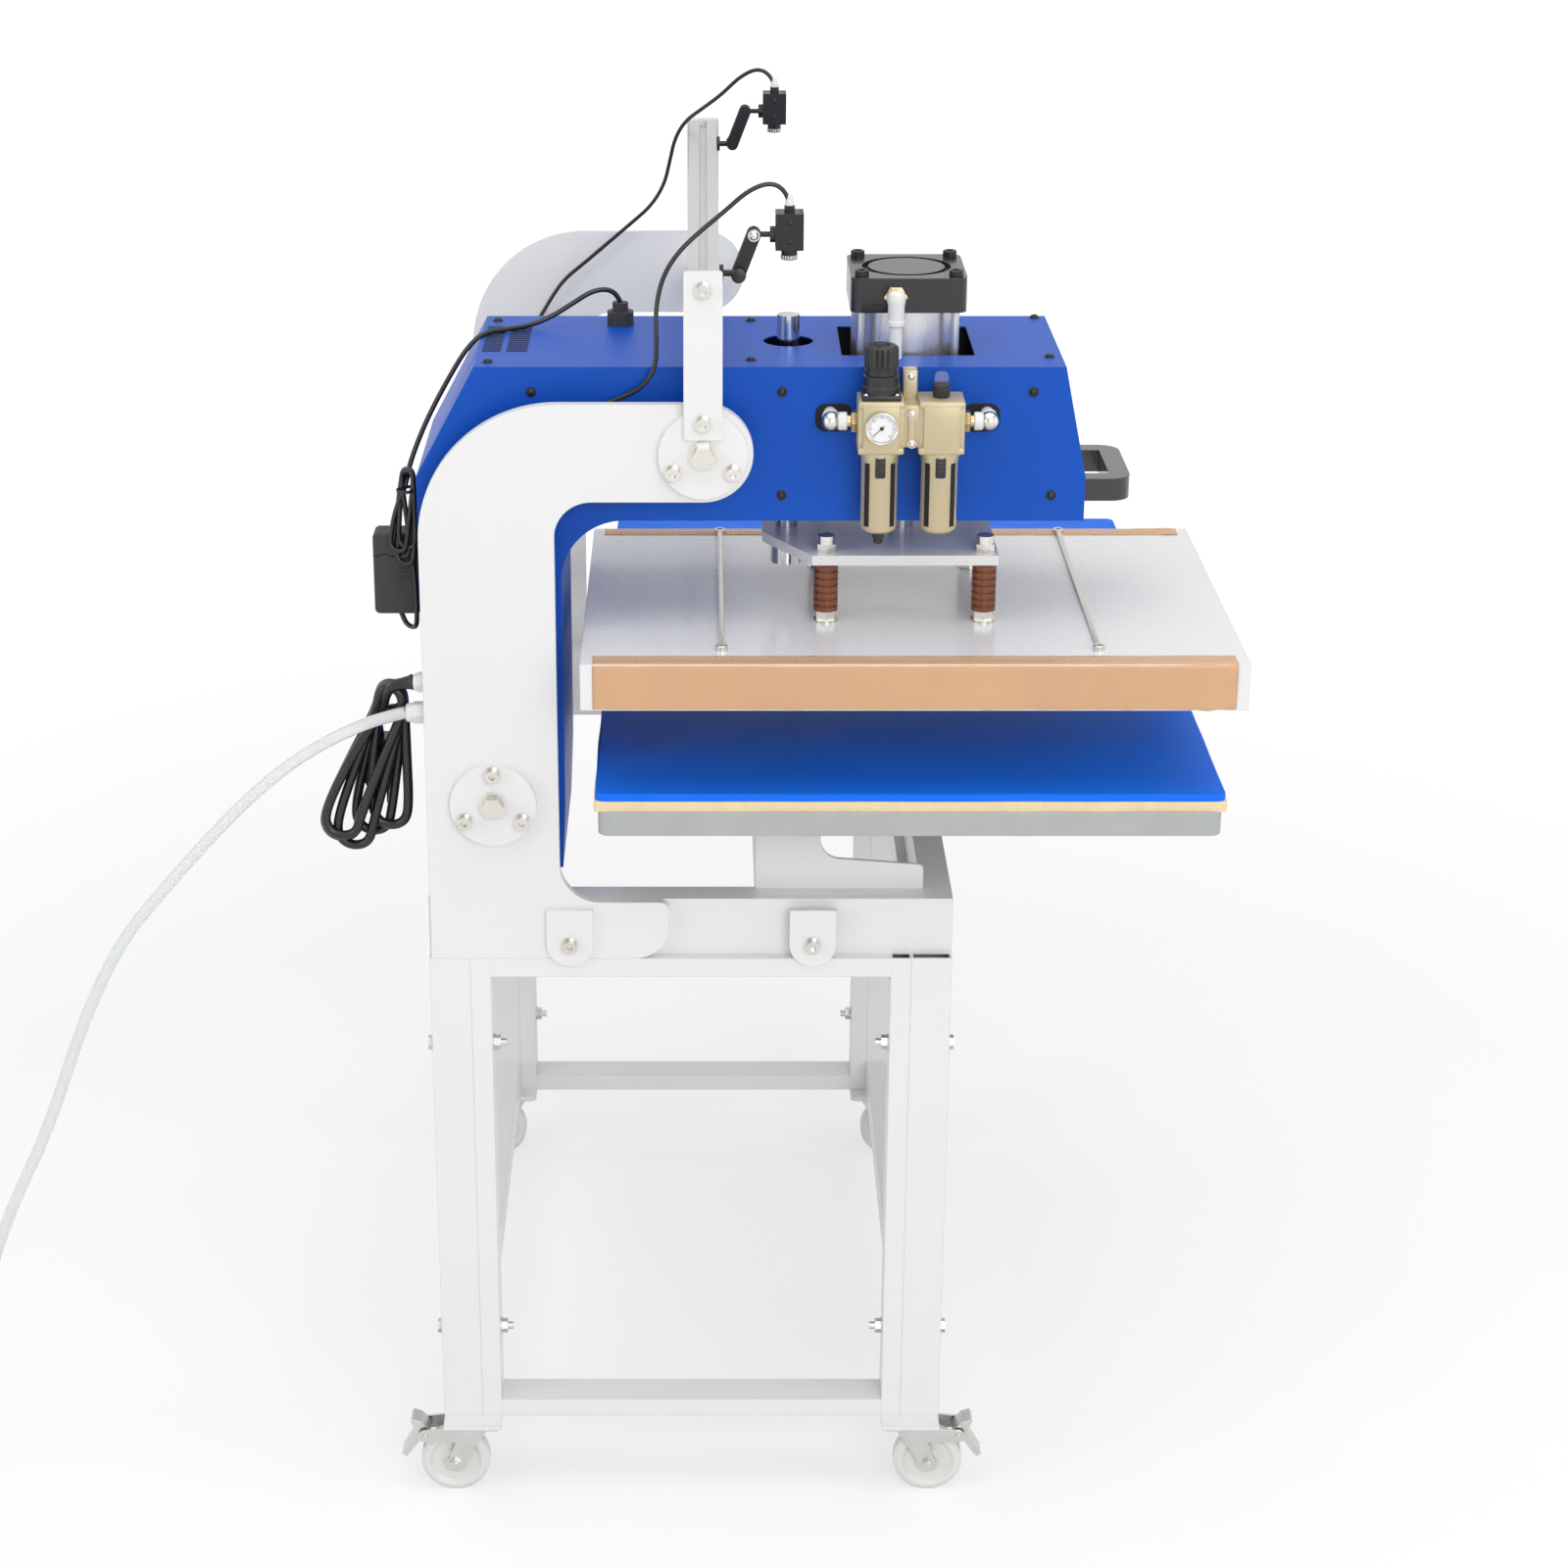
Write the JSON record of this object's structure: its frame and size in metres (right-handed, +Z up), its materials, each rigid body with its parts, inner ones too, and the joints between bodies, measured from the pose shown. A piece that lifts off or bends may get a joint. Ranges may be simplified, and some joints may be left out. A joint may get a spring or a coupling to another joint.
{
  "type": "dual station heat press",
  "caption": "Pneumatic heat press with one heated head that slides on two shafts between two lower tables, on a wheeled stand.",
  "frame": {"origin": "centre of the stand along the shafts, on the floor; the guide shaft over the tables is at Y 0.094", "axes": "+X along the guide shafts to the far station, +Y away from the operator, +Z up"},
  "size_m": [0.943, 1.5725, 1.3776],
  "materials": {
    "white_paint": "powder coat, light texture, semi gloss",
    "blue_paint": "powder coat, semi gloss",
    "zinc_bolts": "zinc plated",
    "steel_screws": "bright nickel plated",
    "ground_shaft": "ground and hard chromed",
    "rail_aluminium": "anodised satin",
    "black_oxide": "black oxide",
    "laser_body": "black anodised",
    "silicone": "matt cream silicone",
    "felt": "pressed felt",
    "tray_aluminium": "fine vertical brush",
    "zinc_plate": "zinc plated",
    "carriage_steel": "dark primer",
    "barrel_aluminium": "satin anodised",
    "cap_aluminium": "die cast and satin anodised",
    "spring_bronze": "bronze enamel",
    "platen_aluminium": "machined",
    "tan_sleeve": "coated glass cloth",
    "air_unit_body": "warm grey paint with clear bowls",
    "black_plastic": "semi gloss",
    "white_plastic": "nylon",
    "clear_hose": "translucent polyurethane",
    "brass_fitting": "nickel and brass",
    "black_cord": "satin rubber jacket",
    "adapter_plastic": "fine texture",
    "white_nylon": "nylon",
    "brake_metal": "zinc lever with black tread"
  },
  "bodies": {
    "stand": {"stand_side_frames": "white_paint", "stand_end_frames": "white_paint", "frame_bolts": "zinc_bolts", "base_frame": "white_paint", "near_side_plate": "white_paint", "far_side_plate": "white_paint", "guide_shafts": "ground_shaft", "shaft_flanges": "white_paint", "plate_screws": "steel_screws", "laser_posts": "white_paint", "laser_rail": "rail_aluminium", "laser_clamps": "black_oxide", "silicone_pads": "silicone", "felt_layers": "felt", "lower_trays": "tray_aluminium", "pedestals": "white_paint", "caster_plates": "zinc_plate", "inlet_fittings": "white_plastic", "air_hose": "clear_hose", "hose_coil": "clear_hose", "hose_coupler": "brass_fitting", "mains_cord": "black_cord", "mains_hank": "black_cord", "mains_plug": "black_plastic", "near_laser_cable": "black_cord", "far_laser_cable": "black_cord"},
    "head": {"head_carriage": "carriage_steel", "near_cover": "blue_paint", "far_cover": "blue_paint", "wrap_cover": "blue_paint", "cylinder": "barrel_aluminium", "cylinder_caps": "cap_aluminium", "head_handle": "blue_paint", "air_unit": "air_unit_body", "adapter_cord": "black_cord", "adapter_hank": "black_cord", "power_adapter": "adapter_plastic"},
    "press": {"pressure_plate": "zinc_plate", "press_rods": "ground_shaft", "spring_bolts": "zinc_bolts", "press_springs": "spring_bronze", "upper_platen": "platen_aluminium", "platen_sleeve": "tan_sleeve"},
    "regulator_knob": {"regulator_knob": "black_plastic"},
    "near_laser_arm": {"near_laser_arm": "black_oxide"},
    "near_laser": {"near_laser": "laser_body"},
    "far_laser_arm": {"far_laser_arm": "black_oxide"},
    "far_laser": {"far_laser": "laser_body"},
    "caster_near_rear": {"caster_fork_near_rear": "zinc_plate"},
    "wheel_near_rear": {"caster_wheel_near_rear": "white_nylon"},
    "pedal_near_rear": {"brake_pedal_near_rear": "brake_metal"},
    "caster_near_front": {"caster_fork_near_front": "zinc_plate"},
    "wheel_near_front": {"caster_wheel_near_front": "white_nylon"},
    "pedal_near_front": {"brake_pedal_near_front": "brake_metal"},
    "caster_far_rear": {"caster_fork_far_rear": "zinc_plate"},
    "wheel_far_rear": {"caster_wheel_far_rear": "white_nylon"},
    "pedal_far_rear": {"brake_pedal_far_rear": "brake_metal"},
    "caster_far_front": {"caster_fork_far_front": "zinc_plate"},
    "wheel_far_front": {"caster_wheel_far_front": "white_nylon"},
    "pedal_far_front": {"brake_pedal_far_front": "brake_metal"}
  },
  "joints": [
    {"name": "head_slide", "type": "slide", "parent": "stand", "child": "head", "axis": [1, 0, 0], "range_m": [0, 0.52]},
    {"name": "press_slide", "type": "slide", "parent": "head", "child": "press", "axis": [0, 0, -1], "range_m": [0, 0.089]},
    {"name": "regulator_knob_turn", "type": "hinge", "parent": "head", "child": "regulator_knob", "pos_m": [-0.3945, -0.0706, 1.22], "axis": [0, 0, 1], "range_deg": [-360, 360]},
    {"name": "near_laser_arm_swing", "type": "hinge", "parent": "stand", "child": "near_laser_arm", "pos_m": [-0.34, 0.061, 1.292], "axis": [1, 0, 0], "range_deg": [-10, 10], "deforming": ["near_laser_cable"]},
    {"name": "near_laser_tilt", "type": "hinge", "parent": "near_laser_arm", "child": "near_laser", "pos_m": [-0.34, 0.04702, 1.32841], "axis": [1, 0, 0], "range_deg": [-15, 15]},
    {"name": "far_laser_arm_swing", "type": "hinge", "parent": "stand", "child": "far_laser_arm", "pos_m": [0.34, 0.061, 1.292], "axis": [1, 0, 0], "range_deg": [-10, 10], "deforming": ["far_laser_cable"]},
    {"name": "far_laser_tilt", "type": "hinge", "parent": "far_laser_arm", "child": "far_laser", "pos_m": [0.34, 0.04702, 1.32841], "axis": [1, 0, 0], "range_deg": [-15, 15]},
    {"name": "caster_swivel_near_rear", "type": "hinge", "parent": "stand", "child": "caster_near_rear", "pos_m": [-0.38, 0.334, 0.08], "axis": [0, 0, 1], "continuous": true},
    {"name": "wheel_roll_near_rear", "type": "hinge", "parent": "caster_near_rear", "child": "wheel_near_rear", "pos_m": [-0.38, 0.355, 0.036], "axis": [1, 0, 0], "continuous": true},
    {"name": "brake_press_near_rear", "type": "hinge", "parent": "caster_near_rear", "child": "pedal_near_rear", "pos_m": [-0.38, 0.386, 0.069], "axis": [-1, 0, 0], "range_deg": [0, 18]},
    {"name": "caster_swivel_near_front", "type": "hinge", "parent": "stand", "child": "caster_near_front", "pos_m": [-0.38, -0.122, 0.08], "axis": [0, 0, 1], "continuous": true},
    {"name": "wheel_roll_near_front", "type": "hinge", "parent": "caster_near_front", "child": "wheel_near_front", "pos_m": [-0.38, -0.143, 0.036], "axis": [1, 0, 0], "continuous": true},
    {"name": "brake_press_near_front", "type": "hinge", "parent": "caster_near_front", "child": "pedal_near_front", "pos_m": [-0.38, -0.174, 0.069], "axis": [1, 0, 0], "range_deg": [0, 18]},
    {"name": "caster_swivel_far_rear", "type": "hinge", "parent": "stand", "child": "caster_far_rear", "pos_m": [0.38, 0.334, 0.08], "axis": [0, 0, 1], "continuous": true},
    {"name": "wheel_roll_far_rear", "type": "hinge", "parent": "caster_far_rear", "child": "wheel_far_rear", "pos_m": [0.38, 0.355, 0.036], "axis": [1, 0, 0], "continuous": true},
    {"name": "brake_press_far_rear", "type": "hinge", "parent": "caster_far_rear", "child": "pedal_far_rear", "pos_m": [0.38, 0.386, 0.069], "axis": [-1, 0, 0], "range_deg": [0, 18]},
    {"name": "caster_swivel_far_front", "type": "hinge", "parent": "stand", "child": "caster_far_front", "pos_m": [0.38, -0.122, 0.08], "axis": [0, 0, 1], "continuous": true},
    {"name": "wheel_roll_far_front", "type": "hinge", "parent": "caster_far_front", "child": "wheel_far_front", "pos_m": [0.38, -0.143, 0.036], "axis": [1, 0, 0], "continuous": true},
    {"name": "brake_press_far_front", "type": "hinge", "parent": "caster_far_front", "child": "pedal_far_front", "pos_m": [0.38, -0.174, 0.069], "axis": [1, 0, 0], "range_deg": [0, 18]}
  ]
}
